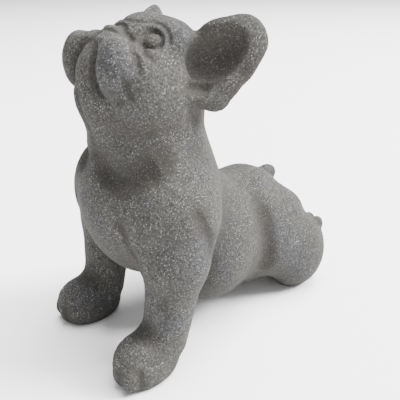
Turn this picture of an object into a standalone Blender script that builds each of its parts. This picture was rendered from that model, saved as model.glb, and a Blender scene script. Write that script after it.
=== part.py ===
"""A French bulldog puppy in cast stone, a garden statue made as one piece.

The puppy rests on its straight forelegs and its haunches, belly off the ground,
and looks up at the sky. It faces -Y, its left side is +X, and it stands on z = 0.

The body is built up as a modeller would with clay. Lumps and limbs are laid on each
other, a voxel remesh makes them one skin, and the skin is then drawn onto a field in
which neighbouring lumps melt together and the creases are pressed in.
"""

import math

import bmesh
import bpy
import numpy as np
from mathutils import Matrix, Vector

# Driving size, in metres. The pose and the proportions are counted in modules of it.
STATUE_HEIGHT = 0.376
MODULES_TALL = 376.0
MODULE = STATUE_HEIGHT / MODULES_TALL

# Fineness of the skin, in modules.
ROUGH_VOXEL = 7.0
SKIN_VOXEL = 3.4
BODY_TRIANGLES = 4900
HEAD_TRIANGLES = 4700
NECK_HEIGHT = 280.0

# A crease runs out over this share of its length at each end, down to this share of its depth.
CREASE_FADE = 0.18
CREASE_END = 0.25

# The pose of the head: its centre, and how far the face looks up from level.
HEAD_CENTRE = (0.0, 80.0, 312.0)
HEAD_PITCH = math.radians(57.0)

# How far the forepaws turn out.
PAW_SPLAY = math.radians(6.0)

# The left ear: which way its length runs, and which way its hollow faces.
EAR_RUNS = (0.49, 0.62, 0.62)
EAR_FACES = (0.74, -0.67, 0.08)

STONE_COLOUR = (0.30, 0.295, 0.285, 1.0)
STONE_ROUGHNESS = 0.9

IDENTITY = np.eye(3)
PAW_AXES = np.array(Matrix.Rotation(PAW_SPLAY, 3, "Z"))


HEAD_AXES = np.array(
    [
        [1.0, 0.0, 0.0],
        [0.0, -math.cos(HEAD_PITCH), math.sin(HEAD_PITCH)],
        [0.0, math.sin(HEAD_PITCH), math.cos(HEAD_PITCH)],
    ]
)


def on_head(side, out, up):
    """A place given from the head's centre: to its left, out along the face, and up."""
    return tuple(np.array(HEAD_CENTRE) + np.array([side, out, up]) @ HEAD_AXES)


def lying_along(runs, faces):
    """The axes of a flat form: across it, out of its face, and along its length."""
    runs = np.array(runs) / np.linalg.norm(runs)
    faces = np.array(faces) - (np.array(faces) @ runs) * runs
    faces = faces / np.linalg.norm(faces)
    return np.column_stack([np.cross(faces, runs), faces, runs])


EAR_AXES = lying_along(EAR_RUNS, EAR_FACES)


class Lump:
    """A ball of clay, drawn out along its own axes. A paired lump has a twin on the other side."""

    def __init__(self, centre, radii, melt, axes=IDENTITY, paired=False):
        self.centre = np.array(centre)
        self.radii = np.array(radii)
        self.melt = melt
        self.axes = axes
        self.paired = paired

    def distance(self, points):
        q = (points - self.centre) @ self.axes / self.radii
        near = np.linalg.norm(q, axis=1)
        slope = np.linalg.norm(q / self.radii, axis=1) + 1e-9
        return near * (near - 1.0) / slope

    def add_to(self, mesh, mirrored):
        place = Matrix.Translation(self.centre) @ Matrix(self.axes).to_4x4()
        place = place @ Matrix.Diagonal(Vector((*self.radii, 1.0)))
        if mirrored:
            place = Matrix.Scale(-1.0, 4, Vector((1.0, 0.0, 0.0))) @ place
        made = bmesh.ops.create_icosphere(mesh, subdivisions=3, radius=1.0, matrix=place)
        if mirrored:
            faces = {f for v in made["verts"] for f in v.link_faces}
            bmesh.ops.reverse_faces(mesh, faces=list(faces))


class Limb:
    """A roll of clay from one point to another, with its own radius at each end."""

    def __init__(self, start, end, start_radius, end_radius, melt, paired=False):
        self.start = np.array(start)
        self.end = np.array(end)
        self.radii = (start_radius, end_radius)
        self.melt = melt
        self.paired = paired

    def distance(self, points):
        along = self.end - self.start
        share = np.clip((points - self.start) @ along / (along @ along), 0.0, 1.0)
        radius = self.radii[0] + share * (self.radii[1] - self.radii[0])
        return np.linalg.norm(points - self.start - share[:, None] * along, axis=1) - radius

    def add_to(self, mesh, mirrored):
        steps = 5
        for step in range(steps + 1):
            share = step / steps
            centre = Vector(self.start + share * (self.end - self.start))
            if mirrored:
                centre.x = -centre.x
            radius = self.radii[0] + share * (self.radii[1] - self.radii[0])
            bmesh.ops.create_icosphere(
                mesh, subdivisions=3, radius=radius, matrix=Matrix.Translation(centre)
            )


def torso():
    """The chest, the neck, the belly, the rump and the tail's stub."""
    return [
        Lump((0, 75, 175), (80, 74, 85), 20),
        Limb((0, 81, 205), (0, 74, 290), 73, 57, 24),
        Lump((0, 152, 103), (77, 71, 88), 30),
        Lump((0, 222, 94), (69, 70, 85), 20),
        Lump((0, 269, 158), (11, 15, 12), 6),
    ]


def forelegs():
    """The shoulders, the straight forelegs and the paws, turned a little out."""
    toe_places = ((54, 2, 18), (67, -8, 18), (82, -7, 18))
    toes = [Lump(place, (9, 14, 17), 3, paired=True) for place in toe_places]
    return [
        Lump((57, 68, 180), (35, 50, 60), 24, paired=True),
        Limb((64, 75, 175), (72, 62, 135), 38, 33, 16, paired=True),
        Limb((72, 60, 135), (69, 44, 36), 32, 25, 14, paired=True),
        Lump((68, 21, 11), (27, 39, 20), 10, PAW_AXES, paired=True),
        Lump((68, 12, 31), (24, 34, 26), 18, PAW_AXES, paired=True),
    ] + toes


def haunches():
    """The haunches, spread on the ground, with the hind feet behind them."""
    toes = [Lump((x, 314, 86), (8, 12, 13), 3, paired=True) for x in (30, 45, 60)]
    return [
        Lump((36, 258, 105), (32, 40, 43), 14, paired=True),
        Lump((40, 250, 72), (38, 44, 46), 12, paired=True),
        Lump((46, 286, 50), (41, 47, 58), 16, paired=True),
        Lump((47, 316, 52), (18, 17, 40), 4, paired=True),
    ] + toes


def flews():
    """The hanging flews, which overlap the chin and the cheeks."""
    return [
        Lump((35, 28, 331), (17, 20, 29), 1.5, paired=True),
        Lump((27, 31, 346), (16, 15, 13), 3, paired=True),
        Lump((31, 38, 344), (16, 14, 14), 3, paired=True),
    ]


def head():
    """The skull, cheeks, muzzle, chin and nose."""
    return [
        Lump(on_head(0, 0, 11), (60, 58, 54), 24, HEAD_AXES.T),
        Lump(on_head(38, 8, -20), (28, 42, 38), 16, HEAD_AXES.T, paired=True),
        Lump(on_head(0, 38, 26), (22, 13, 14), 12, HEAD_AXES.T),
        Lump(on_head(0, 45, 9), (17, 13, 16), 8, HEAD_AXES.T),
        Lump((0, 40, 343), (30, 22, 20), 8),
        Lump((0, 42, 290), (34, 34, 36), 12),
        Lump(on_head(30, 24, 32), (26, 19, 19), 14, HEAD_AXES.T, paired=True),
        Lump((0, 31, 303), (29, 29, 30), 8),
        Lump((0, 30, 323), (24, 24, 29), 3),
        Lump((14, 34, 349), (14, 14, 12), 5, paired=True),
        Lump((0, 43, 359), (12, 10, 8), 2),
    ]


def ear_lump(centre, width, thickness, length, melt=8, forward=0):
    """A lump of the left ear, set forward of the ear's middle by a distance along its facing."""
    place = np.array(centre) + forward * EAR_AXES[:, 1]
    return Lump(place, (width, thickness, length), melt, EAR_AXES, paired=True)


def ears():
    """The upright bat ears, and the ridge that joins their lower rim to the cheek."""
    return [
        ear_lump((57, 110, 314), 33, 12, 19),
        ear_lump((63, 119, 325), 31, 12, 18),
        ear_lump((67, 128, 340), 34, 11, 30),
        ear_lump((75, 142, 351), 25.5, 11, 25),
        Limb((62, 86, 306), (66, 112, 298), 5, 9, 8, paired=True),
    ]


def ear_hollows():
    """The bowls in front of the ears, deeper at the middle, and the pocket at their root."""
    return [
        ear_lump((61, 122, 342), 23, 16, 34, melt=3, forward=15),
        ear_lump((64, 125, 343), 17, 18, 23, melt=3, forward=15),
        Lump((71, 93, 313), (11, 12, 7), 4, paired=True),
    ]


FORMS = torso() + forelegs() + haunches() + head() + ears()


class Crease:
    """A groove along a curve on the skin, or a ridge where its depth is below 0."""

    def __init__(self, points, width, depth, paired=True, field=None):
        self.points = drawn_to_skin(curved(points), field or clay_distance)
        self.width = width
        self.depth = depth
        self.paired = paired

    def pressed(self, points):
        """How far each point's skin is pressed in."""
        reach = 3.0 * self.width
        low = self.points.min(axis=0) - reach
        high = self.points.max(axis=0) + reach
        near = np.flatnonzero(((points > low) & (points < high)).all(axis=1))
        press = np.zeros(len(points))
        if not len(near):
            return press
        nearest = np.full(len(near), np.inf)
        share = np.zeros(len(near))
        steps = len(self.points) - 1
        for step in range(steps):
            start, along = self.points[step], self.points[step + 1] - self.points[step]
            place = np.clip((points[near] - start) @ along / (along @ along), 0.0, 1.0)
            gap = np.linalg.norm(points[near] - start - place[:, None] * along, axis=1)
            closer = gap < nearest
            nearest[closer] = gap[closer]
            share[closer] = (step + place[closer]) / steps
        fade = np.clip(np.minimum(share, 1.0 - share) / CREASE_FADE, CREASE_END, 1.0)
        press[near] = self.depth * fade * np.exp(-((nearest / self.width) ** 2))
        return press


def curved(points, steps=5):
    """A smooth curve through the points."""
    points = np.array(points, float)
    before = np.vstack([2 * points[0] - points[1], points[:-2]])
    after = np.vstack([points[2:], 2 * points[-1] - points[-2]])
    made = []
    for a, b, c, d in zip(before, points[:-1], points[1:], after):
        for t in np.arange(steps) / steps:
            bend = (2 * a - 5 * b + 4 * c - d) * t**2 + (3 * b - a - 3 * c + d) * t**3
            made.append(0.5 * (2 * b + (c - a) * t + bend))
    return np.array(made + [points[-1]])


def melted(one, other, melt):
    """Two distances joined, with a fillet about as wide as melt between their surfaces."""
    near = np.maximum(melt - np.abs(one - other), 0.0) / melt
    return np.minimum(one, other) - near * near * melt / 4.0


def folded_over(points):
    """The points with the right side laid over the left."""
    return np.column_stack([np.abs(points[:, 0]), points[:, 1:]])


def clay_distance(points):
    """How far each point is outside the clay before the carving, in modules."""
    folded = folded_over(points)
    distance = None
    for form in FORMS:
        own = form.distance(folded if form.paired else points)
        distance = own if distance is None else melted(distance, own, form.melt)
    for hollow in HOLLOWS:
        distance = -melted(-distance, hollow.distance(folded), hollow.melt)
    return distance


def creased_distance(points):
    """How far each point is outside the skin before the last creases, in modules."""
    folded = folded_over(points)
    distance = clay_distance(points)
    for crease in CREASES:
        distance = distance + crease.pressed(folded if crease.paired else points)
    for lump in LAID_ON:
        distance = melted(distance, lump.distance(folded), lump.melt)
    return distance


def skin_distance(points):
    """How far each point is outside the finished skin, in modules."""
    folded = folded_over(points)
    return creased_distance(points) + sum(crease.pressed(folded) for crease in LAST_CREASES)


def drawn_to_skin(points, field, rounds=6):
    """The points moved along the field's slope until they lie on its skin."""
    step = 0.4
    least_slope = 0.05
    longest_move = 6.0
    corners = np.array([(1, -1, -1), (-1, -1, 1), (-1, 1, -1), (1, 1, 1)], float)
    for _ in range(rounds):
        probes = [field(points + step * c) for c in corners]
        slope = sum(p[:, None] * c for p, c in zip(probes, corners)) / (4.0 * step)
        value = sum(probes) / 4.0
        length = np.maximum((slope**2).sum(axis=1), least_slope)
        move = np.clip(value / length, -longest_move, longest_move)
        points = points - move[:, None] * slope
    return points


EYE_FACES = HEAD_AXES.T @ np.array([0.62, 0.78, 0.04])
EYE_AXES = lying_along(HEAD_AXES.T @ np.array([0.10, -0.15, 1.0]), EYE_FACES)


def eye_lump(at, depth, width, thickness, height, melt):
    """A lump at a place on the left eye, sunk behind it by a depth."""
    place = np.array(on_head(*at)) - depth * EYE_AXES[:, 1]
    return Lump(place, (width, thickness, height), melt, EYE_AXES, paired=True)


EYES = [eye_lump((40, 45, 10), depth=7.0, width=9.4, thickness=8.0, height=11.4, melt=1.0)]
SOCKETS = [eye_lump((39, 46, 9), depth=0.0, width=11.4, thickness=5.5, height=13.4, melt=3.0)]
HOLLOWS = ear_hollows() + SOCKETS
LAID_ON = flews() + EYES


def across_head(places, width, depth, paired=True):
    """A crease whose places are given from the head's centre."""
    return Crease([on_head(*place) for place in places], width, depth, paired)


def face_creases():
    """The mouth, the nostrils, the lids, and the folds of the muzzle, bridge and brow."""
    mouth = [(0, 22, 354), (9, 20, 353), (14, 19, 348), (15, 18, 340), (16, 16, 331)]
    mouth += [(18, 14, 323), (28, 12, 316), (38, 14, 311), (46, 21, 306)]
    nostril = [(2, 35, 365), (6, 37, 364), (11, 40, 363), (17, 43, 361)]
    bridge_fold = [(-24, 52, 24), (-10, 56, 17), (0, 57, 15), (10, 56, 17), (24, 52, 24)]
    nose_fold = [(-17, 56, -3), (-9, 60, 6), (0, 61, 8), (9, 60, 6), (17, 56, -3)]
    lid = [(22, 54, 5), (26, 52, 19), (37, 45, 23), (48, 38, 16), (54, 35, 2), (46, 41, -5)]
    brow_fold = [(24, 52, 27), (34, 46, 28), (44, 39, 24), (51, 34, 13)]
    cheek_fold = [(38, 46, -8), (48, 42, -9), (56, 36, -8)]
    lip_groove = [(0, 66, -12), (0, 67, -18), (0, 67, -26)]
    return [
        Crease(mouth, 3.0, 6.0),
        Crease(nostril, 2.4, 3.5),
        across_head(bridge_fold, 2.4, 2.0, paired=False),
        across_head(nose_fold, 2.4, 3.5, paired=False),
        across_head(lid, 2.4, -2.4),
        across_head(brow_fold, 2.4, 3.0),
        across_head(cheek_fold, 2.4, 2.2),
        across_head(lip_groove, 2.4, 2.5, paired=False),
    ]


def body_creases():
    """The throat's groove, the neck's hollow, and the folds of the chest, legs, toes and flank."""
    throat = [(0, 6, 312), (0, 6, 290), (0, 8, 270), (0, 8, 250)]
    neck = [(8, 12, 245), (20, 15, 236), (34, 18, 229), (48, 27, 230), (60, 38, 238)]
    neck += [(66, 50, 244)]
    chest = [(46, 10, 189), (52, 12, 179), (54, 15, 166), (56, 19, 151), (57, 25, 134)]
    elbow = [(94, 66, 208), (99, 70, 192), (100, 77, 174), (101, 82, 158), (99, 88, 142)]
    flank = [(50, 204, 150), (60, 203, 132), (66, 206, 104), (65, 206, 78), (56, 206, 50)]
    outer_toe = [(90, -2, 34), (91, -4, 22), (90, -3, 6)]
    middle_toe = [(76, -18, 36), (76, -21, 22), (75, -18, 5)]
    inner_toe = [(61, -14, 34), (60, -17, 20), (60, -13, 5)]
    return [
        Crease(throat, 3.5, 4.0, paired=False),
        Crease(neck, 11.0, 10.0),
        Crease(chest, 3.5, 4.2),
        Crease(elbow, 6.0, 4.0),
        Crease(flank, 11.0, 6.5),
        Crease(outer_toe, 2.8, 3.4),
        Crease(middle_toe, 2.8, 3.4),
        Crease(inner_toe, 2.8, 3.4),
    ]


CREASES = face_creases() + body_creases()


def last_creases():
    """The corners of the mouth and the long folds behind the muzzle."""
    mouth_corner = [(49, 22, 330), (49, 25, 323), (52, 27, 317), (53, 29, 312), (57, 29, 307)]
    muzzle_fold = [(16, 49, 361), (23, 49, 357), (31, 47, 354), (39, 44, 351), (44, 41, 347)]
    muzzle_fold += [(47, 40, 342), (51, 39, 336), (55, 37, 329)]
    return [
        Crease(mouth_corner, 2.4, 2.8, field=creased_distance),
        Crease(muzzle_fold, 2.4, 4.5, field=creased_distance),
    ]


LAST_CREASES = last_creases()


def evaluated_mesh(body):
    """The object's mesh with its modifiers applied."""
    graph = bpy.context.evaluated_depsgraph_get()
    return bpy.data.meshes.new_from_object(body.evaluated_get(graph))


def remeshed(mesh, voxel):
    """The mesh as one skin of even faces."""
    body = bpy.data.objects.new("clay", mesh)
    bpy.context.scene.collection.objects.link(body)
    remesh = body.modifiers.new("skin", "REMESH")
    remesh.mode = "VOXEL"
    remesh.voxel_size = voxel
    made = evaluated_mesh(body)
    bpy.data.objects.remove(body)
    return made


def evened(points, edges):
    """The points moved twice half way to the middle of their neighbours."""
    neighbours = np.bincount(edges.ravel(), minlength=len(points))[:, None]
    for _ in range(2):
        total = np.zeros_like(points)
        np.add.at(total, edges[:, 0], points[edges[:, 1]])
        np.add.at(total, edges[:, 1], points[edges[:, 0]])
        points = 0.5 * (points + total / neighbours)
    return points


def settled(mesh):
    """The mesh with its points drawn to the skin and spread evenly over it."""
    points = np.empty(len(mesh.vertices) * 3, np.float32)
    mesh.vertices.foreach_get("co", points)
    edges = np.empty(len(mesh.edges) * 2, np.int32)
    mesh.edges.foreach_get("vertices", edges)
    edges = edges.reshape(-1, 2)
    moved = drawn_to_skin(points.reshape(-1, 3).astype(float), skin_distance)
    for _ in range(3):
        moved = drawn_to_skin(evened(moved, edges), skin_distance, rounds=2)
    mesh.vertices.foreach_set("co", moved.astype(np.float32).ravel())
    mesh.update()
    return mesh


def rough_clay():
    """Every lump and limb laid in place, still separate shells."""
    shells = bmesh.new()
    for form in FORMS + LAID_ON:
        form.add_to(shells, False)
        if form.paired:
            form.add_to(shells, True)
    mesh = bpy.data.meshes.new("clay")
    shells.to_mesh(mesh)
    shells.free()
    return mesh


def thinned(mesh, low, high, triangles):
    """The mesh with only this many triangles left between two heights."""
    body = bpy.data.objects.new("clay", mesh)
    bpy.context.scene.collection.objects.link(body)
    band = body.vertex_groups.new(name="band")
    band.add([v.index for v in mesh.vertices if low <= v.co.z < high], 1.0, "REPLACE")
    everywhere = sum(len(f.vertices) - 2 for f in mesh.polygons)
    within = sum(len(f.vertices) - 2 for f in mesh.polygons if low <= f.center.z < high)
    decimate = body.modifiers.new("thin", "DECIMATE")
    decimate.ratio = 1.0 - (within - triangles) / everywhere
    decimate.vertex_group = band.name
    made = evaluated_mesh(body)
    bpy.data.objects.remove(body)
    return made


def stood_on_ground(mesh):
    """The mesh cut flat at the ground, with the soles closed, and centred front to back."""
    cut = bmesh.new()
    cut.from_mesh(mesh)
    everything = cut.verts[:] + cut.edges[:] + cut.faces[:]
    made = bmesh.ops.bisect_plane(
        cut, geom=everything, dist=1e-4, plane_co=(0, 0, 0), plane_no=(0, 0, 1), clear_inner=True
    )
    rim = [e for e in made["geom_cut"] if isinstance(e, bmesh.types.BMEdge)]
    bmesh.ops.triangle_fill(cut, edges=rim, use_beauty=True)
    bmesh.ops.triangulate(cut, faces=cut.faces[:])
    bmesh.ops.recalc_face_normals(cut, faces=cut.faces[:])
    front = min(v.co.y for v in cut.verts)
    back = max(v.co.y for v in cut.verts)
    bmesh.ops.translate(cut, verts=cut.verts[:], vec=(0.0, -0.5 * (front + back), 0.0))
    cut.to_mesh(mesh)
    cut.free()
    return mesh


def stone():
    """Grey cast stone."""
    material = bpy.data.materials.new("cast stone")
    material.use_nodes = True
    shader = material.node_tree.nodes["Principled BSDF"]
    shader.inputs["Base Color"].default_value = STONE_COLOUR
    shader.inputs["Roughness"].default_value = STONE_ROUGHNESS
    shader.inputs["Metallic"].default_value = 0.0
    return material


def main():
    """Builds the statue."""
    for old in list(bpy.data.objects):
        bpy.data.objects.remove(old)
    mesh = settled(remeshed(rough_clay(), ROUGH_VOXEL))
    mesh = settled(remeshed(mesh, SKIN_VOXEL))
    mesh = thinned(mesh, -math.inf, NECK_HEIGHT, BODY_TRIANGLES)
    mesh = thinned(mesh, NECK_HEIGHT, math.inf, HEAD_TRIANGLES)
    mesh = stood_on_ground(mesh)
    mesh.transform(Matrix.Scale(MODULE, 4))
    statue = bpy.data.objects.new("bulldog_statue", mesh)
    collection = bpy.data.collections.new("garden statue")
    bpy.context.scene.collection.children.link(collection)
    collection.objects.link(statue)
    for face in mesh.polygons:
        face.use_smooth = True
    mesh.materials.append(stone())
    return statue


if __name__ == "__main__":
    main()
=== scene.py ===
"""A garden statue: a French bulldog puppy in speckled cast stone, looking up at the sky.

The puppy is sculpted as a modeller works in clay. Lumps and limbs are laid on each other and
melt together, hollows are scooped out, creases and folds are pressed along curves on the skin,
and the flews and the eyeballs are laid on last. The skin then gets the fine grain and the pits
of a casting, and a speckled stone finish.

The sculpting classes count in millimetres, with the puppy facing -Y and its left side at +X.
The finished mesh is in metres.
"""

from __future__ import annotations

import logging
import math
from dataclasses import dataclass, field
from enum import Enum
from typing import Callable, Sequence

import bmesh
import bpy
import numpy as np
from mathutils import Matrix, Vector

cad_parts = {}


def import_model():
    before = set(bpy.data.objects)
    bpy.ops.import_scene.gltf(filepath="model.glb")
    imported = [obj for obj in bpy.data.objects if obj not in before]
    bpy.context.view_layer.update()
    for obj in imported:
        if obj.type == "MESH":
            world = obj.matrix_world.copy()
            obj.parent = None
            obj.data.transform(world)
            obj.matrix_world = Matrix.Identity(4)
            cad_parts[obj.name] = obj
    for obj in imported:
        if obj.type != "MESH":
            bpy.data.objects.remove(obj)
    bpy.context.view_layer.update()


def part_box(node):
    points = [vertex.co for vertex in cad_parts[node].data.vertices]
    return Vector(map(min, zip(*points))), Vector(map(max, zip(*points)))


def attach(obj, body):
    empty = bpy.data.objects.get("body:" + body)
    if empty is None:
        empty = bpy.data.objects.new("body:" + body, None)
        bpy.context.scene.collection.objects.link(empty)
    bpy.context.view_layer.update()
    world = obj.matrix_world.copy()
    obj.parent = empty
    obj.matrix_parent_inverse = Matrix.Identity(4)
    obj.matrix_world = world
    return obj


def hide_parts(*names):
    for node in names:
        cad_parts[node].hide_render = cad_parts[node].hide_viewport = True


LOG = logging.getLogger("garden_statue")
NODE = "bulldog_statue"
MILLIMETRE = 0.001

# How far the forepaws turn out, in degrees.
PAW_SPLAY = 6.0

# The name under which the mesh keeps each point's share of painted shade.
PAINTED_SHADE = "painted_shade"

Place = tuple[float, float, float]
Colour = tuple[float, float, float, float]
Band = tuple[float, float, float, float]
Points = np.ndarray
Field = Callable[[Points], Points]
Fed = bpy.types.NodeSocket | float | Colour


class Sides(Enum):
    """Whether a form lies on the middle of the puppy or has a twin on its other side."""

    MIDDLE = "middle"
    BOTH = "both"


def swung(yaw: float) -> np.ndarray:
    """The axes of a form that swings round to its left.

    Args:
        yaw: How far it swings, in degrees.

    Returns:
        A 3x3 array whose columns are the form's own axes.
    """
    return np.array(Matrix.Rotation(math.radians(yaw), 3, "Z"))


def lying_along(runs: Sequence[float], faces: Sequence[float]) -> np.ndarray:
    """The axes of a flat form.

    Args:
        runs: The direction of its length.
        faces: The direction that it faces, made square to its length.

    Returns:
        A 3x3 array whose columns are across it, out of its face, and along its length.
    """
    along = np.array(runs) / np.linalg.norm(runs)
    out = np.array(faces) - (np.array(faces) @ along) * along
    out = out / np.linalg.norm(out)
    return np.column_stack([np.cross(out, along), out, along])


def folded_over(points: Points) -> Points:
    """The points with the right side of the puppy laid over its left."""
    return np.column_stack([np.abs(points[:, 0]), points[:, 1:]])


def melted(one: Points, other: Points, melt: float) -> Points:
    """Two distances joined as one form.

    Args:
        one: Each point's distance outside the first form.
        other: Each point's distance outside the second form.
        melt: The width of the fillet between them, in millimetres.

    Returns:
        Each point's distance outside both.
    """
    near = np.maximum(melt - np.abs(one - other), 0.0) / melt
    return np.minimum(one, other) - near * near * melt / 4.0


@dataclass(frozen=True)
class Lump:
    """A ball of clay that is drawn out along its own axes."""

    centre: Place
    radii: Place
    melt: float
    sides: Sides = Sides.MIDDLE
    axes: np.ndarray = field(default_factory=lambda: np.eye(3))

    def distance(self, points: Points) -> Points:
        """How far each point lies outside the lump, in millimetres.

        Args:
            points: The points, in millimetres.

        Returns:
            A distance for each point, below zero inside.
        """
        reach = np.array(self.radii)
        q = (points - np.array(self.centre)) @ self.axes / reach
        near = np.linalg.norm(q, axis=1)
        slope = np.linalg.norm(q / reach, axis=1) + 1e-9
        return near * (near - 1.0) / slope

    def lay(self, shells: bmesh.types.BMesh, mirrored: bool) -> None:
        """Adds the lump as a closed shell.

        Args:
            shells: The mesh that takes the shell.
            mirrored: Whether this is the twin on the right side.
        """
        place = Matrix.Translation(self.centre) @ Matrix(self.axes).to_4x4()
        place = place @ Matrix.Diagonal(Vector((*self.radii, 1.0)))
        if mirrored:
            place = Matrix.Scale(-1.0, 4, Vector((1.0, 0.0, 0.0))) @ place
        made = bmesh.ops.create_icosphere(shells, subdivisions=3, radius=1.0, matrix=place)
        if mirrored:
            faces = {face for vert in made["verts"] for face in vert.link_faces}
            bmesh.ops.reverse_faces(shells, faces=list(faces))


@dataclass(frozen=True)
class Limb:
    """A roll of clay from one point to another, with its own radius at each end."""

    start: Place
    end: Place
    start_radius: float
    end_radius: float
    melt: float
    sides: Sides = Sides.MIDDLE
    balls: int = 6

    def distance(self, points: Points) -> Points:
        """How far each point lies outside the limb, in millimetres.

        Args:
            points: The points, in millimetres.

        Returns:
            A distance for each point, below zero inside.
        """
        along = np.array(self.end) - np.array(self.start)
        gap = points - np.array(self.start)
        share = np.clip(gap @ along / (along @ along), 0.0, 1.0)
        radius = self.start_radius + share * (self.end_radius - self.start_radius)
        return np.linalg.norm(gap - share[:, None] * along, axis=1) - radius

    def lay(self, shells: bmesh.types.BMesh, mirrored: bool) -> None:
        """Adds the limb as a row of overlapping balls.

        Args:
            shells: The mesh that takes the balls.
            mirrored: Whether this is the twin on the right side.
        """
        for share in np.linspace(0.0, 1.0, self.balls):
            centre = Vector(self.start).lerp(Vector(self.end), share)
            if mirrored:
                centre.x = -centre.x
            radius = self.start_radius + share * (self.end_radius - self.start_radius)
            bmesh.ops.create_icosphere(
                shells, subdivisions=3, radius=radius, matrix=Matrix.Translation(centre)
            )


Form = Lump | Limb


def drawn_to(points: Points, surface: Field, rounds: int, step: float = 0.4) -> Points:
    """The points moved along a field's slope until they lie on its surface.

    Args:
        points: Where the points start.
        surface: The field, which is zero on the surface.
        rounds: How often the points are moved.
        step: The distance over which the slope is measured, in millimetres.

    Returns:
        The moved points.
    """
    corners = np.array([(1, -1, -1), (-1, -1, 1), (-1, 1, -1), (1, 1, 1)], float)
    longest_move = 6.0
    least_slope = 0.05
    for _ in range(rounds):
        probes = [surface(points + step * corner) for corner in corners]
        slope = sum(p[:, None] * corner for p, corner in zip(probes, corners)) / (4.0 * step)
        value = sum(probes) / 4.0
        length = np.maximum((slope**2).sum(axis=1), least_slope)
        move = np.clip(value / length, -longest_move, longest_move)
        points = points - move[:, None] * slope
    return points


def curve_through(places: Sequence[Place], steps: int = 5) -> Points:
    """A smooth curve through places.

    Args:
        places: The places in order.
        steps: How many points the curve has for each stretch.

    Returns:
        The curve's points.
    """
    points = np.array(places, float)
    before = np.vstack([2 * points[0] - points[1], points[:-1]])[: len(points) - 1]
    after = np.vstack([points[2:], 2 * points[-1] - points[-2]])
    made = []
    for a, b, c, d in zip(before, points[:-1], points[1:], after):
        for t in np.arange(steps) / steps:
            bend = (2 * a - 5 * b + 4 * c - d) * t**2 + (3 * b - a - 3 * c + d) * t**3
            made.append(0.5 * (2 * b + (c - a) * t + bend))
    return np.array(made + [points[-1]])


@dataclass(frozen=True)
class Crease:
    """A groove along a curve on the skin, or a ridge where its depth is below zero."""

    places: tuple[Place, ...]
    width: float
    depth: float
    sides: Sides = Sides.BOTH
    fade: float = 0.18
    end_depth: float = 0.25
    widths_felt: float = 3.0

    def pressed(self, points: Points, curve: Points) -> Points:
        """How far the skin is pressed in at each point.

        Args:
            points: The points, folded over if the crease has a twin.
            curve: The crease's curve, drawn onto the clay.

        Returns:
            The depth at each point, in millimetres.
        """
        reach = self.widths_felt * self.width
        inside = (points > curve.min(axis=0) - reach) & (points < curve.max(axis=0) + reach)
        near = np.flatnonzero(inside.all(axis=1))
        press = np.zeros(len(points))
        if not len(near):
            return press
        nearest = np.full(len(near), np.inf)
        share = np.zeros(len(near))
        steps = len(curve) - 1
        for step in range(steps):
            start, along = curve[step], curve[step + 1] - curve[step]
            gap = points[near] - start
            place = np.clip(gap @ along / (along @ along), 0.0, 1.0)
            distance = np.linalg.norm(gap - place[:, None] * along, axis=1)
            closer = distance < nearest
            nearest[closer] = distance[closer]
            share[closer] = (step + place[closer]) / steps
        ends = np.clip(np.minimum(share, 1.0 - share) / self.fade, self.end_depth, 1.0)
        press[near] = self.depth * ends * np.exp(-((nearest / self.width) ** 2))
        return press


@dataclass
class Torso:
    """The chest, the neck, the belly, the rump and the stub of the tail."""

    chest: Lump = Lump((0, 75, 175), (80, 74, 85), 20)
    neck: Limb = Limb((0, 81, 205), (0, 74, 290), 73, 57, 24)
    belly: Lump = Lump((0, 152, 103), (77, 71, 88), 30)
    rump: Lump = Lump((0, 222, 94), (69, 70, 85), 20)
    tail: Lump = Lump((0, 269, 158), (11, 15, 12), 6)

    def forms(self) -> list[Form]:
        """The torso's clay."""
        return [self.chest, self.neck, self.belly, self.rump, self.tail]

    def creases(self) -> list[Crease]:
        """The throat's groove, the hollow under the neck, and the folds of chest and flank.

        Returns:
            The creases of the torso.
        """
        neck = ((8, 12, 245), (20, 15, 236), (34, 18, 229), (48, 27, 230), (60, 38, 238))
        neck += ((66, 50, 244),)
        chest = ((46, 10, 189), (52, 12, 179), (54, 15, 166), (56, 19, 151), (57, 25, 134))
        flank = ((50, 204, 150), (60, 203, 132), (66, 206, 104), (65, 206, 78), (56, 206, 50))
        throat = ((0, 6, 312), (0, 6, 290), (0, 8, 270), (0, 8, 250))
        flank_fold = ((57, 210, 148), (64, 213, 132), (70, 217, 116))
        return [
            Crease(throat, 3.5, 4.0, Sides.MIDDLE),
            Crease(neck, 11.0, 10.0),
            Crease(chest, 3.2, 4.2),
            Crease(flank, 11.0, 6.5),
            Crease(flank_fold, 2.6, 1.8),
        ]


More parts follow.
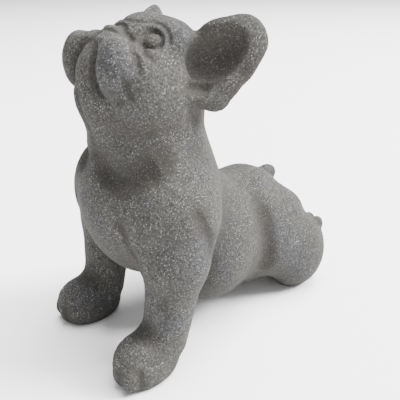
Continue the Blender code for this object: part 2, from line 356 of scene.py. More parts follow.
@dataclass
class Forelegs:
    """The shoulders, the straight forelegs and the paws, turned a little out."""

    shoulder: Lump = Lump((57, 68, 180), (35, 50, 60), 24, Sides.BOTH)
    upper: Limb = Limb((64, 75, 175), (72, 62, 135), 38, 33, 16, Sides.BOTH)
    lower: Limb = Limb((72, 60, 135), (69, 44, 36), 32, 25, 14, Sides.BOTH)
    sole: Lump = Lump((68, 21, 11), (27, 39, 20), 10, Sides.BOTH, swung(PAW_SPLAY))
    paw: Lump = Lump((68, 12, 31), (24, 34, 26), 18, Sides.BOTH, swung(PAW_SPLAY))
    toe_radii: Place = (9, 14, 17)
    toe_places: tuple[tuple[float, float], ...] = ((54, 2), (67, -8), (82, -7))
    toe_height: float = 18
    toe_melt: float = 3

    def forms(self) -> list[Form]:
        """The forelegs' clay.

        Returns:
            The lumps and limbs, in the order in which they melt together.
        """
        toes = [
            Lump((x, y, self.toe_height), self.toe_radii, self.toe_melt, Sides.BOTH)
            for x, y in self.toe_places
        ]
        return [self.shoulder, self.upper, self.lower, self.sole, self.paw, *toes]

    def creases(self) -> list[Crease]:
        """The fold behind each elbow, the folds of the lower leg, and the grooves of the toes.

        Returns:
            The creases of the forelegs.
        """
        elbow = ((94, 66, 208), (99, 70, 192), (100, 77, 174), (101, 82, 158), (99, 88, 142))
        leg_fold = ((90, 32, 111), (91, 32, 96), (92, 34, 81))
        toe_grooves = (
            ((90, -2, 34), (91, -4, 22), (90, -3, 6)),
            ((76, -18, 36), (76, -21, 22), (75, -18, 5)),
            ((61, -14, 34), (60, -17, 20), (60, -13, 5)),
        )
        grooves = [Crease(groove, 2.6, 3.4) for groove in toe_grooves]
        return [Crease(elbow, 6.0, 4.0), Crease(leg_fold, 3.0, 1.6), *grooves]


@dataclass
class Haunches:
    """The haunches, spread on the ground, with the hind feet behind them."""

    hip: Lump = Lump((36, 258, 105), (32, 40, 43), 14, Sides.BOTH)
    flank: Lump = Lump((40, 250, 72), (38, 44, 46), 12, Sides.BOTH)
    thigh: Lump = Lump((46, 286, 50), (41, 47, 58), 16, Sides.BOTH)
    foot: Lump = Lump((47, 316, 52), (18, 17, 40), 4, Sides.BOTH)
    toe_radii: Place = (8, 12, 13)
    toe_sides: tuple[float, ...] = (30, 45, 60)
    toe_place: tuple[float, float] = (314, 86)
    toe_melt: float = 3

    def forms(self) -> list[Form]:
        """The haunches' clay.

        Returns:
            The lumps, in the order in which they melt together.
        """
        toes = [
            Lump((x, *self.toe_place), self.toe_radii, self.toe_melt, Sides.BOTH)
            for x in self.toe_sides
        ]
        return [self.hip, self.flank, self.thigh, self.foot, *toes]


@dataclass
class Head:
    """The skull, the cheeks, the muzzle with its hanging flews, the chin, the nose and the eyes."""

    centre: Place = (0.0, 80.0, 312.0)
    looks_up: float = math.radians(57.0)
    socket_place: Place = (39, 46, 9)
    socket_radii: Place = (11.4, 5.5, 13.4)
    socket_melt: float = 3.0
    eye_place: Place = (40, 45, 10)
    eye_depth: float = 7.0
    eye_radii: Place = (9.4, 8.0, 11.4)
    eye_melt: float = 1.0
    eye_faces: Place = (0.62, 0.78, 0.04)
    eye_runs: Place = (0.10, -0.15, 1.0)
    axes: np.ndarray = field(init=False)
    eye_axes: np.ndarray = field(init=False)

    def __post_init__(self) -> None:
        """Works out the head's axes, and those of the left eye."""
        away, rise = math.cos(self.looks_up), math.sin(self.looks_up)
        self.axes = np.array([[1.0, 0.0, 0.0], [0.0, -away, rise], [0.0, rise, away]])
        self.eye_axes = lying_along(
            self.axes.T @ np.array(self.eye_runs), self.axes.T @ np.array(self.eye_faces)
        )

    def on(self, side: float, out: float, up: float) -> Place:
        """A place to the head's left, out along the face and up to the crown, from its centre."""
        return tuple(np.array(self.centre) + np.array([side, out, up]) @ self.axes)

    def lump(self, at: Place, radii: Place, melt: float, sides: Sides = Sides.MIDDLE) -> Lump:
        """A lump that is placed and turned with the head.

        Args:
            at: Its centre, as side, out and up from the head's centre.
            radii: Its reach across, out and up.
            melt: The width of its fillet.
            sides: Whether it has a twin.

        Returns:
            The lump.
        """
        return Lump(self.on(*at), radii, melt, sides, self.axes.T)

    def forms(self) -> list[Form]:
        """The head's clay.

        Returns:
            The lumps, in the order in which they melt together.
        """
        return [
            self.lump((0, 0, 11), (60, 58, 54), 24),
            self.lump((38, 8, -20), (28, 42, 38), 16, Sides.BOTH),
            self.lump((0, 38, 26), (22, 13, 14), 12),
            self.lump((0, 45, 9), (17, 13, 16), 8),
            Lump((0, 40, 343), (30, 22, 20), 8),
            Lump((0, 42, 290), (34, 34, 36), 12),
            self.lump((30, 24, 32), (26, 19, 19), 14, Sides.BOTH),
            Lump((0, 31, 303), (29, 29, 30), 8),
            Lump((0, 30, 323), (24, 24, 29), 3),
            Lump((14, 34, 349), (14, 14, 12), 5, Sides.BOTH),
            Lump((0, 43, 359), (12, 10, 8), 2),
        ]

    def flews(self) -> list[Lump]:
        """The hanging flews, which overlap the chin and the cheeks.

        Returns:
            The lumps of the flews.
        """
        return [
            Lump((35, 28, 331), (17, 20, 29), 1.5, Sides.BOTH),
            Lump((27, 31, 346), (16, 15, 13), 3, Sides.BOTH),
            Lump((31, 38, 344), (16, 14, 14), 3, Sides.BOTH),
        ]

    def lines(self) -> list[Crease]:
        """The corners of the mouth and the long folds behind the muzzle.

        Returns:
            The creases that are pressed after the flews are laid on.
        """
        corner = ((49, 22, 330), (49, 25, 323), (52, 27, 317), (53, 29, 312), (57, 29, 307))
        muzzle = ((16, 49, 361), (24, 49, 357), (33, 45, 356), (41, 41, 355), (45, 39, 351))
        muzzle += ((47, 38, 348), (48, 39, 344), (52, 38, 338), (56, 37, 331))
        return [Crease(corner, 2.0, 3.2), Crease(muzzle, 2.2, 6.5)]

    def eye(self, at: Place, depth: float, radii: Place, melt: float) -> Lump:
        """A lump at the eyes.

        Args:
            at: The place on the face, as side, out and up from the head's centre.
            depth: How far its centre lies behind that place.
            radii: Its reach across, out and along the eye.
            melt: The width of its fillet.

        Returns:
            The lump.
        """
        place = np.array(self.on(*at)) - depth * self.eye_axes[:, 1]
        return Lump(tuple(place), radii, melt, Sides.BOTH, self.eye_axes)

    def sockets(self) -> list[Lump]:
        """The hollows that the eyes lie in."""
        return [self.eye(self.socket_place, 0.0, self.socket_radii, self.socket_melt)]

    def eyeballs(self) -> list[Lump]:
        """The eyeballs."""
        return [self.eye(self.eye_place, self.eye_depth, self.eye_radii, self.eye_melt)]

    def crease(
        self,
        places: Sequence[Place],
        width: float,
        depth: float,
        sides: Sides = Sides.BOTH,
    ) -> Crease:
        """A crease whose places are given from the head's centre.

        Args:
            places: Its places, as side, out and up.
            width: Its width.
            depth: Its depth, below zero for a ridge.
            sides: Whether it has a twin.

        Returns:
            The crease.
        """
        return Crease(tuple(self.on(*place) for place in places), width, depth, sides)

    def creases(self) -> list[Crease]:
        """The mouth, and the folds of the muzzle, the brow and the cheeks.

        Returns:
            The creases that are pressed before the flews are laid on.
        """
        mouth = ((0, 22, 354), (9, 20, 353), (14, 19, 348), (15, 18, 340), (16, 16, 331))
        mouth += ((18, 14, 323), (28, 12, 316), (38, 14, 311), (46, 21, 306))
        lid = ((22, 54, 5), (26, 52, 19), (37, 45, 23), (48, 38, 16), (54, 35, 2), (46, 41, -5))
        nostril = ((2, 35, 365), (6, 37, 364), (11, 40, 363), (17, 43, 361))
        bridge = ((-24, 52, 24), (-10, 56, 17), (0, 57, 15), (10, 56, 17), (24, 52, 24))
        nose = ((-17, 56, -3), (-9, 60, 6), (0, 61, 8), (9, 60, 6), (17, 56, -3))
        brow = ((24, 52, 27), (34, 46, 28), (44, 39, 24), (51, 34, 13))
        cheek = ((38, 46, -8), (48, 42, -9), (56, 36, -8))
        lip_groove = ((0, 66, -12), (0, 67, -18), (0, 67, -26))
        return [
            Crease(mouth, 2.8, 6.5),
            Crease(nostril, 2.0, 3.5),
            self.crease(bridge, 2.4, 2.0, Sides.MIDDLE),
            self.crease(nose, 2.2, 3.5, Sides.MIDDLE),
            self.crease(lid, 2.2, -2.4),
            self.crease(brow, 2.0, 3.0),
            self.crease(cheek, 2.2, 2.2),
            self.crease(lip_groove, 2.2, 2.5, Sides.MIDDLE),
        ]


@dataclass
class Ears:
    """The upright bat ears and the hollows in front of them."""

    runs: Place = (0.49, 0.62, 0.62)
    faces: Place = (0.74, -0.67, 0.08)
    melt: float = 8
    hollow_forward: float = 15
    hollow_melt: float = 3

    def lump(self, centre: Place, radii: Place, melt: float, forward: float = 0.0) -> Lump:
        """A lump of the ears.

        Args:
            centre: A place on the middle of the left ear.
            radii: Its reach across, out of and along the ear.
            melt: The width of its fillet.
            forward: How far it is set in front of that place.

        Returns:
            The lump.
        """
        axes = lying_along(self.runs, self.faces)
        place = np.array(centre) + forward * axes[:, 1]
        return Lump(tuple(place), radii, melt, Sides.BOTH, axes)

    def forms(self) -> list[Form]:
        """The ears' clay from root to tip, and the ridge that joins their lower rim to the cheek.

        Returns:
            The lumps and the ridge, in the order in which they melt together.
        """
        return [
            self.lump((57, 110, 314), (33, 12, 19), self.melt),
            self.lump((63, 119, 325), (31, 12, 18), self.melt),
            self.lump((67, 128, 340), (34, 11, 30), self.melt),
            self.lump((75, 142, 351), (25.5, 11, 25), self.melt),
            Limb((62, 86, 306), (66, 112, 298), 5, 9, 8, Sides.BOTH),
        ]

    def hollows(self) -> list[Lump]:
        """The bowls in front of the ears, deeper at the middle, and the pocket at their root.

        Returns:
            The lumps that are scooped out.
        """
        melt, forward = self.hollow_melt, self.hollow_forward
        return [
            self.lump((61, 122, 342), (23, 16, 34), melt, forward),
            self.lump((64, 125, 343), (17, 18, 23), melt, forward),
            Lump((71, 93, 313), (11, 12, 7), 4, Sides.BOTH),
        ]


class Clay:
    """The whole puppy as a field of distances from its skin."""

    def __init__(
        self,
        forms: Sequence[Form],
        hollows: Sequence[Lump],
        creases: Sequence[Crease],
        laid_on: Sequence[Lump],
        lines: Sequence[Crease],
    ) -> None:
        """Lays the clay and draws the creases' curves onto it.

        Args:
            forms: The lumps and limbs, in the order in which they melt together.
            hollows: What is scooped out of them.
            creases: The grooves and ridges that are pressed into them.
            laid_on: The lumps that are laid on after that.
            lines: The creases that are pressed last.
        """
        self.forms = forms
        self.hollows = hollows
        self.laid_on = laid_on
        self.creases = [
            (crease, drawn_to(curve_through(crease.places), self.uncarved, rounds=6))
            for crease in creases
        ]
        self.lines = [
            (line, drawn_to(curve_through(line.places), self.creased, rounds=6)) for line in lines
        ]

    def uncarved(self, points: Points) -> Points:
        """How far each point lies outside the clay before the carving.

        Args:
            points: The points, in millimetres.

        Returns:
            A distance for each point.
        """
        folded = folded_over(points)
        distance = None
        for form in self.forms:
            own = form.distance(folded if form.sides is Sides.BOTH else points)
            distance = own if distance is None else melted(distance, own, form.melt)
        for hollow in self.hollows:
            distance = -melted(-distance, hollow.distance(folded), hollow.melt)
        return distance

    def creased(self, points: Points) -> Points:
        """How far each point lies outside the skin before the last lines.

        Args:
            points: The points, in millimetres.

        Returns:
            A distance for each point.
        """
        folded = folded_over(points)
        distance = self.uncarved(points)
        for crease, curve in self.creases:
            along = folded if crease.sides is Sides.BOTH else points
            distance = distance + crease.pressed(along, curve)
        for lump in self.laid_on:
            distance = melted(distance, lump.distance(folded), lump.melt)
        return distance

    def carved(self, points: Points) -> Points:
        """How far each point lies outside the finished skin.

        Args:
            points: The points, in millimetres.

        Returns:
            A distance for each point.
        """
        folded = folded_over(points)
        distance = self.creased(points)
        for line, curve in self.lines:
            distance = distance + line.pressed(folded, curve)
        return distance

    def shells(self) -> bpy.types.Mesh:
        """Every lump and limb as a shell of its own, in one mesh.

        Returns:
            A new mesh.
        """
        shells = bmesh.new()
        for form in [*self.forms, *self.laid_on]:
            form.lay(shells, mirrored=False)
            if form.sides is Sides.BOTH:
                form.lay(shells, mirrored=True)
        mesh = bpy.data.meshes.new("clay")
        shells.to_mesh(mesh)
        shells.free()
        return mesh


@dataclass(frozen=True)
class PaintedShade:
    """Painted shade: a darker colour in hollows and creases, under downward-facing skin and where
    other skin is close, where shade falls.
    """

    hollow_share: float = 0.25
    hollow_reach: float = 5.0
    under_share: float = 1.4
    under_most: float = 0.5
    crease_depth: float = 3.0
    crease_most: float = 0.75
    shades: tuple[tuple[float, float], ...] = ((5.0, 1.0), (12.0, 0.9), (28.0, 0.6), (55.0, 0.4))

    def shade_at(self, clay: Clay, points: Points, normals: Points) -> Points:
        """How much painted shade lies at each point of the skin.

        Args:
            clay: The clay that the skin belongs to.
            points: The points of the skin.
            normals: The skin's direction at each of them.

        Returns:
            A share for each point, from 0 on the open skin to 1.
        """
        folded = folded_over(points)
        # Painted shade in the ear hollows and eye sockets, in the creases, under downward-facing
        # skin, and where other skin is near.
        scooped = np.min([hollow.distance(folded) for hollow in clay.hollows], axis=0)
        share = self.hollow_share * np.clip(1.0 - scooped / self.hollow_reach, 0.0, 1.0)
        share = share + self.under_share * np.clip(-normals[:, 2], 0.0, self.under_most)
        for skin in (clay.uncarved, clay.creased):
            share = share + np.clip(-skin(points) / self.crease_depth, 0.0, self.crease_most)
        for reach, weight in self.shades:
            gap = clay.carved(points + reach * normals)
            share = share + weight * np.clip(1.0 - gap / reach, 0.0, 1.0)
        return np.clip(share, 0.0, 1.0)


@dataclass
class Sculptor:
    """Turns the clay into one skin of even faces, finest on the head."""

    clay: Clay
    painted_shade: PaintedShade = PaintedShade()
    rough_voxel: float = 7.0
    body_voxel: float = 2.9
    quick_voxel: float = 3.6
    head_above: float = 282.0
    evenings: int = 3

    def remeshed(self, mesh: bpy.types.Mesh, voxel: float) -> bpy.types.Mesh:
        """The mesh as one skin.

        Args:
            mesh: The mesh, which may be many shells.
            voxel: The size of the new faces, in millimetres.

        Returns:
            A new mesh.
        """
        body = bpy.data.objects.new("clay", mesh)
        bpy.context.scene.collection.objects.link(body)
        remesh = body.modifiers.new("skin", "REMESH")
        remesh.mode = "VOXEL"
        remesh.voxel_size = voxel
        graph = bpy.context.evaluated_depsgraph_get()
        made = bpy.data.meshes.new_from_object(body.evaluated_get(graph))
        bpy.data.objects.remove(body)
        return made

    def evened(self, points: Points, edges: np.ndarray) -> Points:
        """The points moved half way to the middle of their neighbours, twice.

        Args:
            points: The points.
            edges: The two points of each edge, by number.

        Returns:
            The moved points.
        """
        count = np.bincount(edges.ravel(), minlength=len(points))[:, None]
        for _ in range(2):
            total = np.zeros_like(points)
            for axis in range(3):
                for here, there in ((0, 1), (1, 0)):
                    total[:, axis] += np.bincount(
                        edges[:, here], points[edges[:, there], axis], len(points)
                    )
            points = 0.5 * (points + total / count)
        return points

    def settled(self, mesh: bpy.types.Mesh) -> bpy.types.Mesh:
        """Draws the mesh's points to the skin and spreads them evenly over it.

        Args:
            mesh: The mesh, in millimetres.

        Returns:
            The same mesh.
        """
        flat = np.empty(len(mesh.vertices) * 3, np.float32)
        mesh.vertices.foreach_get("co", flat)
        pairs = np.empty(len(mesh.edges) * 2, np.int32)
        mesh.edges.foreach_get("vertices", pairs)
        edges = pairs.reshape(-1, 2)
        points = drawn_to(flat.reshape(-1, 3).astype(float), self.clay.carved, rounds=4)
        for _ in range(self.evenings):
            points = drawn_to(self.evened(points, edges), self.clay.carved, rounds=2)
        mesh.vertices.foreach_set("co", points.astype(np.float32).ravel())
        mesh.update()
        return mesh

    def head_split(self, mesh: bpy.types.Mesh) -> bpy.types.Mesh:
        """Cuts the faces of the head in four, so that its carving has room.

        Args:
            mesh: The mesh, in millimetres.

        Returns:
            The same mesh.
        """
        finer = bmesh.new()
        finer.from_mesh(mesh)
        edges = [
            edge for edge in finer.edges if min(v.co.z for v in edge.verts) > self.head_above
        ]
        bmesh.ops.subdivide_edges(finer, edges=edges, cuts=1, use_grid_fill=True)
        finer.to_mesh(mesh)
        finer.free()
        return mesh

    def flat_below(self, mesh: bpy.types.Mesh) -> bpy.types.Mesh:
        """Cuts the mesh flat at the ground and closes the soles.

        Args:
            mesh: The mesh, in millimetres.

        Returns:
            The same mesh.
        """
        cut = bmesh.new()
        cut.from_mesh(mesh)
        everything = cut.verts[:] + cut.edges[:] + cut.faces[:]
        made = bmesh.ops.bisect_plane(
            cut,
            geom=everything,
            dist=1e-4,
            plane_co=(0, 0, 0),
            plane_no=(0, 0, 1),
            clear_inner=True,
        )
        rim = [edge for edge in made["geom_cut"] if isinstance(edge, bmesh.types.BMEdge)]
        bmesh.ops.triangle_fill(cut, edges=rim, use_beauty=True)
        bmesh.ops.recalc_face_normals(cut, faces=cut.faces[:])
        cut.to_mesh(mesh)
        cut.free()
        return mesh

    def with_painted_shade(self, mesh: bpy.types.Mesh) -> bpy.types.Mesh:
        """Notes on each point of the mesh how much painted shade it gets.

        Args:
            mesh: The mesh, in millimetres.

        Returns:
            The same mesh.
        """
        points = np.empty(len(mesh.vertices) * 3, np.float32)
        mesh.vertices.foreach_get("co", points)
        normals = np.empty(len(mesh.vertices) * 3, np.float32)
        mesh.vertices.foreach_get("normal", normals)
        share = self.painted_shade.shade_at(
            self.clay, points.reshape(-1, 3).astype(float), normals.reshape(-1, 3).astype(float)
        )
        note = mesh.attributes.new(PAINTED_SHADE, "FLOAT", "POINT")
        note.data.foreach_set("value", share.astype(np.float32))
        return mesh

    def sculpted(self) -> bpy.types.Mesh:
        """The finished skin, in millimetres, with its share of painted shade noted on it.

        Returns:
            A new mesh.
        """
        mesh = self.settled(self.remeshed(self.clay.shells(), self.rough_voxel))
        mesh = self.settled(self.remeshed(mesh, self.body_voxel))
        mesh = self.settled(self.head_split(mesh))
        return self.with_painted_shade(self.flat_below(mesh))


class NodeKit:
    """Adds nodes to a tree, with constants and links on their inputs."""

    def __init__(self, tree: bpy.types.NodeTree) -> None:
        """Takes the tree.

        Args:
            tree: The tree that the nodes go into.
        """
        self.tree = tree

    def feed(self, socket: bpy.types.NodeSocket, value: Fed) -> None:
        """Puts a constant on an input, or links an output to it.

        Args:
            socket: The input.
            value: The constant or the output.
        """
        if isinstance(value, bpy.types.NodeSocket):
            self.tree.links.new(value, socket)
        else:
            socket.default_value = value

    def add(self, kind: str, settings: dict[str, str], inputs: dict[str, Fed]) -> bpy.types.Node:
        """Adds a node.

        Args:
            kind: The node's type.
            settings: Its settings by name.
            inputs: What its inputs get, by name.

        Returns:
            The node.
        """
        node = self.tree.nodes.new(kind)
        for name, setting in settings.items():
            setattr(node, name, setting)
        for name, value in inputs.items():
            self.feed(node.inputs[name], value)
        return node

    def maths(self, operation: str, one: Fed, other: Fed) -> bpy.types.NodeSocket:
        """Works out one number from two.

        Args:
            operation: The sum's name, such as ADD.
            one: The first number.
            other: The second number.

        Returns:
            The result.
        """
        node = self.add("ShaderNodeMath", {"operation": operation}, {})
        self.feed(node.inputs[0], one)
        self.feed(node.inputs[1], other)
        return node.outputs[0]

    def noise(self, places: Fed, size: Fed, detail: float, seed: Fed) -> bpy.types.NodeSocket:
        """A cloudy pattern between 0 and 1.

        Args:
            places: The coordinates.
            size: The size of its clouds, in metres.
            detail: How many finer patterns lie on it.
            seed: The number that its random pattern starts from.

        Returns:
            The pattern.
        """
        inputs = {
            "Vector": places,
            "Scale": self.maths("DIVIDE", 1.0, size),
            "Detail": detail,
            "W": seed,
        }
        return self.add("ShaderNodeTexNoise", {"noise_dimensions": "4D"}, inputs).outputs[0]

    def cells(self, places: Fed, spacing: Fed) -> bpy.types.Node:
        """A pattern of cells.

        Args:
            places: The coordinates.
            spacing: The distance between the cells, in metres.

        Returns:
            The node, with each cell's distance and colour.
        """
        inputs = {"Vector": places, "Scale": self.maths("DIVIDE", 1.0, spacing)}
        return self.add("ShaderNodeTexVoronoi", {"feature": "F1"}, inputs)

    def ramp(self, value: Fed, low: float, high: float, start: float, end: float) -> Fed:
        """A number that runs softly from one value to another.

        Args:
            value: The number that drives it.
            low: Where it begins to run.
            high: Where it stops.
            start: Its value at low and below.
            end: Its value at high and above.

        Returns:
            The number.
        """
        inputs = {"Value": value, "From Min": low, "From Max": high, "To Min": start, "To Max": end}
        settings = {"interpolation_type": "SMOOTHSTEP"}
        return self.add("ShaderNodeMapRange", settings, inputs).outputs[0]

    def mixed(self, under: Fed, over: Colour, share: Fed) -> bpy.types.NodeSocket:
        """A colour laid over another.

        Args:
            under: The colour below.
            over: The colour on top.
            share: How much of the top colour shows.

        Returns:
            The mix.
        """
        inputs = {"A": under, "B": over, "Factor": share}
        return self.add("ShaderNodeMix", {"data_type": "RGBA"}, inputs).outputs["Result"]


@dataclass(frozen=True)
class CastSurface:
    """The grain and the pits of the cast skin, laid over a mesh by Geometry Nodes."""

    grain_size: float = 0.0050
    grain_height: float = 0.0008
    wave_size: float = 0.022
    wave_height: float = 0.0014
    pit_spacing: float = 0.0075
    pit_depth: float = 0.0006
    pit_reach: float = 0.3
    seed: float = 4.0
    sole_height: float = 0.002

    def tree(self) -> bpy.types.NodeTree:
        """Builds the node tree, with the surface's sizes as its inputs.

        Returns:
            The tree.
        """
        tree = bpy.data.node_groups.new("cast surface", "GeometryNodeTree")
        face = tree.interface
        face.new_socket("Geometry", in_out="INPUT", socket_type="NodeSocketGeometry")
        sizes = {
            "Grain size": self.grain_size,
            "Grain height": self.grain_height,
            "Wave size": self.wave_size,
            "Wave height": self.wave_height,
            "Pit spacing": self.pit_spacing,
            "Pit depth": self.pit_depth,
            "Seed": self.seed,
        }
        for name, value in sizes.items():
            socket = face.new_socket(name, in_out="INPUT", socket_type="NodeSocketFloat")
            socket.default_value = value
        face.new_socket("Finish", in_out="INPUT", socket_type="NodeSocketMaterial")
        face.new_socket("Geometry", in_out="OUTPUT", socket_type="NodeSocketGeometry")
        kit = NodeKit(tree)
        given = tree.nodes.new("NodeGroupInput").outputs
        place = tree.nodes.new("GeometryNodeInputPosition").outputs[0]

        grain = kit.noise(place, given["Grain size"], 2.0, given["Seed"])
        grain = kit.maths("MULTIPLY", kit.maths("SUBTRACT", grain, 0.5), given["Grain height"])
        wave = kit.noise(place, given["Wave size"], 1.0, given["Seed"])
        wave = kit.maths("MULTIPLY", kit.maths("SUBTRACT", wave, 0.5), given["Wave height"])
        cells = kit.cells(place, given["Pit spacing"])
        bowl = kit.maths("DIVIDE", cells.outputs["Distance"], self.pit_reach)
        bowl = kit.maths("MAXIMUM", kit.maths("SUBTRACT", 1.0, bowl), 0.0)
        pit = kit.maths("MULTIPLY", bowl, given["Pit depth"])
        height = kit.maths("SUBTRACT", kit.maths("ADD", grain, wave), pit)

        normal = tree.nodes.new("GeometryNodeInputNormal").outputs[0]
        offset = kit.add("ShaderNodeVectorMath", {"operation": "SCALE"}, {"Scale": height})
        kit.feed(offset.inputs[0], normal)
        above = kit.add("ShaderNodeSeparateXYZ", {}, {"Vector": place}).outputs["Z"]
        off_ground = kit.maths("GREATER_THAN", above, self.sole_height)
        inputs = {
            "Geometry": given["Geometry"],
            "Selection": off_ground,
            "Offset": offset.outputs[0],
        }
        moved = kit.add("GeometryNodeSetPosition", {}, inputs)
        solid = kit.add("GeometryNodeRealizeInstances", {}, {"Geometry": moved.outputs[0]})
        inputs = {"Geometry": solid.outputs[0], "Material": given["Finish"]}
        finish = kit.add("GeometryNodeSetMaterial", {}, inputs)
        kit.add("NodeGroupOutput", {}, {"Geometry": finish.outputs[0]})
        return tree

    def laid_over(self, mesh: bpy.types.Mesh, finish: bpy.types.Material) -> bpy.types.Mesh:
        """The mesh with the cast surface on it.

        Args:
            mesh: The smooth mesh, in metres.
            finish: The material of the result.

        Returns:
            A plain mesh.
        """
        body = bpy.data.objects.new("clay", mesh)
        bpy.context.scene.collection.objects.link(body)
        modifier = body.modifiers.new("cast surface", "NODES")
        modifier.node_group = self.tree()
        for item in modifier.node_group.interface.items_tree:
            if item.name == "Finish":
                modifier[item.identifier] = finish
        graph = bpy.context.evaluated_depsgraph_get()
        made = bpy.data.meshes.new_from_object(body.evaluated_get(graph))
        body.modifiers.remove(modifier)
        bpy.data.objects.remove(body)
        return made


@dataclass(frozen=True)
class Chips:
    """Specks of one size and colour in the stone."""

    colour: Colour
    spacing: float
    reach: tuple[float, float]
    share: float

    def laid(self, kit: NodeKit, places: Fed, under: Fed, dense: Fed) -> bpy.types.NodeSocket:
        """Lays the specks over a colour.

        Args:
            kit: What adds the nodes.
            places: The coordinates.
            under: The colour below.
            dense: How much of the specks shows at each place.

        Returns:
            The colour with the specks.
        """
        edge = 0.02
        cells = kit.cells(places, self.spacing)
        inputs = {"Color": cells.outputs["Color"]}
        draw = kit.add("ShaderNodeSeparateColor", {}, inputs).outputs["Red"]
        shown = kit.ramp(draw, self.share - edge, self.share + edge, 1.0, 0.0)
        spot = kit.ramp(cells.outputs["Distance"], *self.reach, 1.0, 0.0)
        cover = kit.maths("MULTIPLY", dense, kit.maths("MULTIPLY", shown, spot))
        return kit.mixed(under, self.colour, cover)


@dataclass(frozen=True)
class SpeckledStone:
    """Dry grey cast stone with a fine grain, white and dark specks, and shade painted into its
    hollows, creases and undersides.
    """

    name: str = "speckled cast stone"
    warm_grey: Colour = (0.045, 0.043, 0.039, 1.0)
    blue_grey: Colour = (0.040, 0.041, 0.0455, 1.0)
    dark_grain: Colour = (0.014, 0.013, 0.012, 1.0)
    light_grain: Colour = (0.112, 0.110, 0.106, 1.0)
    painted_shade_colour: Colour = (0.025, 0.022, 0.019, 1.0)
    fine_white: Chips = Chips((0.26, 0.26, 0.255, 1.0), 0.0017, (0.14, 0.40), 0.30)
    large_white: Chips = Chips((0.38, 0.38, 0.37, 1.0), 0.0034, (0.10, 0.26), 0.22)
    fine_black: Chips = Chips((0.014, 0.013, 0.012, 1.0), 0.0034, (0.14, 0.32), 0.30)
    roughness: float = 0.9
    patch_size: float = 0.055
    cloud_size: float = 0.012
    cluster_size: float = 0.018
    grain_size: float = 0.0016
    seeds: tuple[float, float, float, float] = (1.7, 5.2, 8.1, 3.3)
    patch_band: Band = (0.50, 0.66, 0.0, 0.8)
    cloud_band: Band = (0.45, 0.75, 0.0, 0.35)
    dark_band: Band = (0.50, 0.30, 0.0, 0.85)
    light_band: Band = (0.52, 0.72, 0.0, 0.85)
    painted_shade_band: Band = (0.1, 0.9, 0.0, 0.62)
    cluster_band: Band = (0.38, 0.58, 0.25, 1.0)
    bare_band: Band = (0.2, 0.9, 1.0, 0.35)
    black_share: float = 0.9
    specular: float = 0.3
    bump_height: float = 0.0007
    bump_strength: float = 0.7

    def build(self) -> bpy.types.Material:
        """Builds the material from node textures on object coordinates.

        Returns:
            The material.
        """
        material = bpy.data.materials.new(self.name)
        material.use_nodes = True
        tree = material.node_tree
        kit = NodeKit(tree)
        shader = tree.nodes["Principled BSDF"]
        shader.inputs["Metallic"].default_value = 0.0
        shader.inputs["Specular IOR Level"].default_value = self.specular
        shader.inputs["Roughness"].default_value = self.roughness
        places = tree.nodes.new("ShaderNodeTexCoord").outputs["Object"]
        settings = {"attribute_name": PAINTED_SHADE, "attribute_type": "GEOMETRY"}
        painted_shade = kit.add("ShaderNodeAttribute", settings, {}).outputs["Fac"]

        patch_seed, cloud_seed, grain_seed, cluster_seed = self.seeds
        blue = kit.noise(places, self.patch_size, 2.0, patch_seed)
        colour = kit.mixed(self.warm_grey, self.blue_grey, kit.ramp(blue, *self.patch_band))
        cloud = kit.noise(places, self.cloud_size, 3.0, cloud_seed)
        colour = kit.mixed(colour, self.dark_grain, kit.ramp(cloud, *self.cloud_band))
        grain = kit.noise(places, self.grain_size, 2.0, grain_seed)
        colour = kit.mixed(colour, self.dark_grain, kit.ramp(grain, *self.dark_band))
        colour = kit.mixed(colour, self.light_grain, kit.ramp(grain, *self.light_band))
        # Painted shade: a darker colour laid on hollows, creases, downward-facing skin and skin
        # near other skin.
        colour = kit.mixed(colour, self.painted_shade_colour, kit.ramp(painted_shade, *self.painted_shade_band))
        cluster = kit.noise(places, self.cluster_size, 3.0, cluster_seed)
        dense = kit.ramp(cluster, *self.cluster_band)
        # The white specks thin out where the painted shade lies.
        dense = kit.maths("MULTIPLY", dense, kit.ramp(painted_shade, *self.bare_band))
        colour = self.fine_white.laid(kit, places, colour, dense)
        colour = self.large_white.laid(kit, places, colour, dense)
        colour = self.fine_black.laid(kit, places, colour, self.black_share)
        kit.feed(shader.inputs["Base Color"], colour)

        inputs = {
            "Strength": self.bump_strength,
            "Distance": self.bump_height,
            "Height": grain,
        }
        kit.feed(shader.inputs["Normal"], kit.add("ShaderNodeBump", {}, inputs).outputs[0])
        return material


@dataclass
class Statue:
    """The whole puppy, cast as one piece."""

    torso: Torso = field(default_factory=Torso)
    forelegs: Forelegs = field(default_factory=Forelegs)
    haunches: Haunches = field(default_factory=Haunches)
    head: Head = field(default_factory=Head)
    ears: Ears = field(default_factory=Ears)
    surface: CastSurface = CastSurface()

    def clay(self) -> Clay:
        """The puppy's clay, with every form and crease in place.

        Returns:
            The clay.
        """
        forms = self.torso.forms() + self.forelegs.forms() + self.haunches.forms()
        forms += self.head.forms() + self.ears.forms()
        creases = self.head.creases() + self.torso.creases() + self.forelegs.creases()
        hollows = self.ears.hollows() + self.head.sockets()
        laid_on = self.head.flews() + self.head.eyeballs()
        return Clay(forms, hollows, creases, laid_on, self.head.lines())

    def build(self, finish: bpy.types.Material) -> bpy.types.Object:
        """Sculpts the puppy and stands it where its solid stands.

        Args:
            finish: The stone.

        Returns:
            The statue.
        """
        sculptor = Sculptor(self.clay())
        mesh = sculptor.sculpted()
        mesh.transform(Matrix.Scale(MILLIMETRE, 4))
        low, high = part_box(NODE)
        sides = [vert.co.y for vert in mesh.vertices]
        middle = 0.5 * (low[1] + high[1]) - 0.5 * (min(sides) + max(sides))
        mesh.transform(Matrix.Translation((0.0, middle, 0.0)))
        mesh = self.surface.laid_over(mesh, finish)
        mesh.shade_smooth()
        statue = bpy.data.objects.new("cast_puppy", mesh)
        bpy.context.scene.collection.objects.link(statue)
        return statue


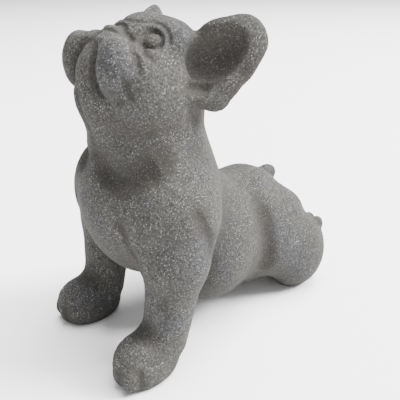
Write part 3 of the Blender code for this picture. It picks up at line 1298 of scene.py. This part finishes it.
@dataclass(frozen=True)
class Lamp:
    """A soft square light."""

    name: str
    place: Place
    aim: Place
    size: float
    watts: float

    def hang(self) -> bpy.types.Object:
        """Hangs the light over the set, turned to its aim.

        Returns:
            The light.
        """
        data = bpy.data.lights.new(self.name, "AREA")
        data.size = self.size
        data.energy = self.watts
        lamp = bpy.data.objects.new(self.name, data)
        lamp.location = self.place
        way = Vector(self.aim) - Vector(self.place)
        lamp.rotation_euler = way.to_track_quat("-Z", "Y").to_euler()
        bpy.context.scene.collection.objects.link(lamp)
        return lamp


@dataclass(frozen=True)
class Studio:
    """The pale floor, the soft lights and the camera."""

    camera_place: Place = (0.4212, -0.3457, 0.416)
    camera_yaw: float = 51.0
    camera_pitch: float = 26.0
    lens: float = 43.2
    sensor: float = 36.0
    near_clip: float = 0.01
    floor_reach: float = 30.0
    floor_colour: Colour = (0.97, 0.97, 0.97, 1.0)
    floor_roughness: float = 0.95
    sky_colour: Colour = (1.0, 1.0, 1.0, 1.0)
    sky_strength: float = 0.66
    key: Lamp = Lamp("key", (3.0, 4.4, 4.6), (0.0, 0.0, 0.15), 2.4, 1500.0)
    top: Lamp = Lamp("top", (0.3, 1.2, 6.0), (0.0, 0.0, 0.0), 4.0, 1250.0)

    def look(self) -> Vector:
        """The direction that the camera looks in.

        Returns:
            A vector of length 1.
        """
        yaw, pitch = math.radians(self.camera_yaw), math.radians(self.camera_pitch)
        level = math.cos(pitch)
        return Vector((-math.sin(yaw) * level, math.cos(yaw) * level, -math.sin(pitch)))

    def camera(self) -> bpy.types.Object:
        """The camera at the photograph's viewing angle.

        Returns:
            The camera, set as the scene's.
        """
        data = bpy.data.cameras.new("camera")
        data.lens = self.lens
        data.sensor_width = self.sensor
        data.clip_start = self.near_clip
        camera = bpy.data.objects.new("camera", data)
        camera.location = self.camera_place
        camera.rotation_euler = self.look().to_track_quat("-Z", "Y").to_euler()
        bpy.context.scene.collection.objects.link(camera)
        bpy.context.scene.camera = camera
        return camera

    def floor(self) -> bpy.types.Object:
        """The pale floor that the statue stands on.

        Returns:
            The floor.
        """
        plane = bmesh.new()
        bmesh.ops.create_grid(plane, x_segments=1, y_segments=1, size=self.floor_reach)
        mesh = bpy.data.meshes.new("floor")
        plane.to_mesh(mesh)
        plane.free()
        material = bpy.data.materials.new("pale floor")
        material.use_nodes = True
        shader = material.node_tree.nodes["Principled BSDF"]
        shader.inputs["Base Color"].default_value = self.floor_colour
        shader.inputs["Roughness"].default_value = self.floor_roughness
        mesh.materials.append(material)
        floor = bpy.data.objects.new("floor", mesh)
        bpy.context.scene.collection.objects.link(floor)
        return floor

    def lights(self) -> None:
        """Lights the set from behind the puppy's left and from above, with a pale sky all round."""
        world = bpy.data.worlds.new("studio")
        world.use_nodes = True
        background = world.node_tree.nodes["Background"]
        background.inputs["Color"].default_value = self.sky_colour
        background.inputs["Strength"].default_value = self.sky_strength
        bpy.context.scene.world = world
        self.key.hang()
        self.top.hang()


def main() -> None:
    """Builds the statue and its set."""
    logging.basicConfig(level=logging.INFO, format="%(message)s")
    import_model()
    studio = Studio()
    studio.camera()
    studio.floor()
    studio.lights()
    finish = SpeckledStone().build()
    statue = Statue().build(finish)
    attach(statue, "root")
    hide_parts(NODE)
    LOG.info("cast_puppy: %d faces", len(statue.data.polygons))


if __name__ == "__main__":
    main()
